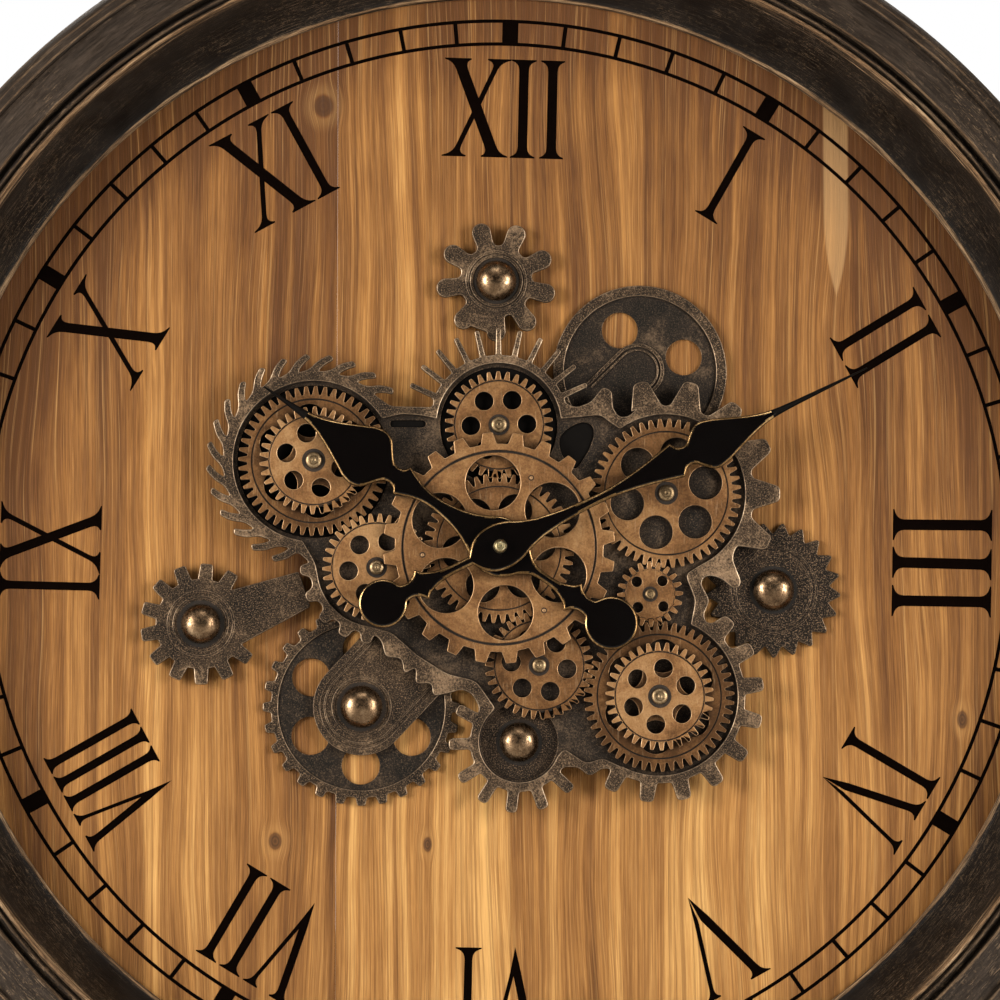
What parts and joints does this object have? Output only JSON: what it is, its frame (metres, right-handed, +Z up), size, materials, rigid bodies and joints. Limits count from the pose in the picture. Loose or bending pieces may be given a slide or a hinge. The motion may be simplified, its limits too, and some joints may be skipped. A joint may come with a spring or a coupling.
{
  "type": "skeleton clock",
  "caption": "Round wall clock with an open train of turning brass gears and dark toothed rings in front of a planked dial, and pointed hands.",
  "frame": {"origin": "centre of the clock's bounding box, on the axis of its hands, 2 mm behind the dial's face", "axes": "+Y towards the wall, square to the dial, +Z up towards twelve o'clock, +X to the right as seen from the front"},
  "size_m": [0.61, 0.076, 0.61],
  "materials": {
    "antique_brass": "antique satin, machined",
    "dark_bronze": "dark antique bronze, rubbed edges",
    "dome_brass": "polished, aged",
    "black_plate": "black, matte",
    "distressed_black": "painted black, rubbed brown and gold",
    "pine_board": "stained planks, satin varnish",
    "gloss_black": "gloss black with gilt edge",
    "steel": "zinc plated",
    "black_plastic": "moulded, matte",
    "white_nylon": "moulded",
    "cell_wrap": "printed wrap, plain",
    "circuit_green": "solder mask and copper coil"
  },
  "bodies": {
    "clock": {"back_plate": "black_plate", "board_clip_1": "steel", "board_clip_2": "steel", "board_clip_3": "steel", "bottom_disc": "dark_bronze", "bottom_dome": "dome_brass", "bushing_nut": "steel", "carrier_plate": "dark_bronze", "centre_bushing": "steel", "dial_board": "pine_board", "drive_cell": "cell_wrap", "frame_ring": "distressed_black", "gear_motor": "steel", "hanger_plate": "steel", "left_arm_wheel": "dark_bronze", "left_dome": "dome_brass", "left_post": "dome_brass", "lower_centre_post": "dome_brass", "lower_left_dome": "dome_brass", "lower_left_post": "dome_brass", "lower_left_strap": "dark_bronze", "lower_left_wheel": "dark_bronze", "lower_right_post": "dome_brass", "motor_case": "black_plastic", "motor_cover": "black_plastic", "movement_back": "black_plastic", "movement_case": "black_plastic", "movement_cell": "cell_wrap", "plate_pillar_1": "steel", "plate_pillar_2": "steel", "plate_pillar_3": "steel", "right_dome": "dome_brass", "right_post": "dome_brass", "right_saw_wheel": "dark_bronze", "small_post": "dome_brass", "stepper_board": "circuit_green", "top_dome": "dome_brass", "top_knob_wheel": "dark_bronze", "upper_right_wheel": "dark_bronze"},
    "centre_gears": {"centre_rear_gear": "antique_brass", "centre_front_gear": "antique_brass"},
    "top_shaft": {"top_gear": "antique_brass", "top_arbor": "dome_brass"},
    "lower_left": {"lower_left_gear": "antique_brass"},
    "lower_centre": {"lower_centre_gear": "antique_brass"},
    "left_pair": {"left_rear_gear": "antique_brass", "left_front_gear": "antique_brass"},
    "lower_right_pair": {"lower_right_rear_gear": "antique_brass", "lower_right_front_gear": "antique_brass"},
    "small": {"small_gear": "antique_brass"},
    "right": {"right_gear": "antique_brass"},
    "drive_pinion": {"motor_pinion": "antique_brass"},
    "minute": {"minute_hand": "gloss_black", "hand_cap_nut": "dome_brass", "minute_arbor": "steel"},
    "hour": {"hour_hand": "gloss_black", "hour_pipe": "white_nylon"},
    "setting": {"motion_wheel": "white_nylon", "setting_knob": "black_plastic"},
    "switch": {"slide_switch": "black_plastic"}
  },
  "joints": [
    {"name": "centre_gear_turn", "type": "hinge", "parent": "clock", "child": "centre_gears", "pos_m": [0, -0.008, 0], "axis": [0, 1, 0], "continuous": true},
    {"name": "top_shaft_turn", "type": "hinge", "parent": "clock", "child": "top_shaft", "pos_m": [0, -0.008, 0.05535], "axis": [0, 1, 0], "continuous": true},
    {"name": "lower_left_turn", "type": "hinge", "parent": "clock", "child": "lower_left", "pos_m": [-0.05465, -0.008, -0.00875], "axis": [0, 1, 0], "continuous": true},
    {"name": "lower_centre_turn", "type": "hinge", "parent": "clock", "child": "lower_centre", "pos_m": [0.01793, -0.008, -0.05237], "axis": [0, 1, 0], "continuous": true},
    {"name": "left_pair_turn", "type": "hinge", "parent": "clock", "child": "left_pair", "pos_m": [-0.08283, -0.008, 0.03889], "axis": [0, 1, 0], "continuous": true},
    {"name": "lower_right_pair_turn", "type": "hinge", "parent": "clock", "child": "lower_right_pair", "pos_m": [0.07154, -0.008, -0.06613], "axis": [0, 1, 0], "continuous": true},
    {"name": "small_gear_turn", "type": "hinge", "parent": "clock", "child": "small", "pos_m": [0.06762, -0.008, -0.0204], "axis": [0, 1, 0], "continuous": true},
    {"name": "right_gear_turn", "type": "hinge", "parent": "clock", "child": "right", "pos_m": [0.07504, -0.008, 0.0249], "axis": [0, 1, 0], "continuous": true},
    {"name": "drive_pinion_turn", "type": "hinge", "parent": "clock", "child": "drive_pinion", "pos_m": [0.02, 0.021, 0.05535], "axis": [0, 1, 0], "continuous": true},
    {"name": "minute_hand_turn", "type": "hinge", "parent": "clock", "child": "minute", "pos_m": [0, -0.02, 0], "axis": [0, 1, 0], "continuous": true},
    {"name": "hour_hand_turn", "type": "hinge", "parent": "clock", "child": "hour", "pos_m": [0, -0.0168, 0], "axis": [0, 1, 0], "continuous": true},
    {"name": "setting_knob_turn", "type": "hinge", "parent": "clock", "child": "setting", "pos_m": [0.006, 0.032, 0.01039], "axis": [0, 1, 0], "continuous": true},
    {"name": "switch_slide", "type": "slide", "parent": "clock", "child": "switch", "axis": [1, 0, 0], "range_m": [0, 0.004]}
  ],
  "couplings": [
    {"joint": "top_shaft_turn", "follows": "centre_gear_turn", "ratio": -1.4118},
    {"joint": "lower_left_turn", "follows": "centre_gear_turn", "ratio": -1.4118},
    {"joint": "lower_centre_turn", "follows": "centre_gear_turn", "ratio": -1.4118},
    {"joint": "left_pair_turn", "follows": "centre_gear_turn", "ratio": 1},
    {"joint": "lower_right_pair_turn", "follows": "centre_gear_turn", "ratio": 1},
    {"joint": "small_gear_turn", "follows": "centre_gear_turn", "ratio": -2.4},
    {"joint": "right_gear_turn", "follows": "centre_gear_turn", "ratio": 1},
    {"joint": "drive_pinion_turn", "follows": "centre_gear_turn", "ratio": 5.6471},
    {"joint": "hour_hand_turn", "follows": "minute_hand_turn", "ratio": 0.083333},
    {"joint": "setting_knob_turn", "follows": "minute_hand_turn", "ratio": -0.33333}
  ]
}
